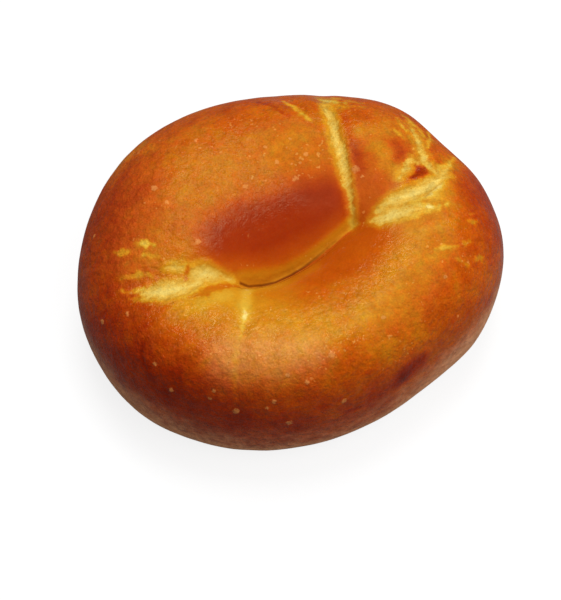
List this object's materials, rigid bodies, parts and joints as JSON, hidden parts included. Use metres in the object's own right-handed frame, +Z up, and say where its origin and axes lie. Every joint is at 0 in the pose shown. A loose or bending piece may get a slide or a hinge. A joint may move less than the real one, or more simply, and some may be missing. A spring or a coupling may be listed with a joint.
{
  "type": "bagel",
  "caption": "Plain baked bagel: an uneven, glossy brown ring whose hole has swollen shut to a curved slit, with pale split seams and a flat base.",
  "frame": {"origin": "on the plane the bagel rests on, under the middle of its bounding box", "axes": "+Z up through the thickness, +X along the bagel's longest extent towards the seamed end, +Y across it"},
  "size_m": [0.1106, 0.0958, 0.0386],
  "materials": {
    "crust": "satin baked crust, golden brown to mahogany, pale yellow where the dough has split"
  },
  "bodies": {
    "root": {"bagel": "crust"}
  },
  "joints": []
}
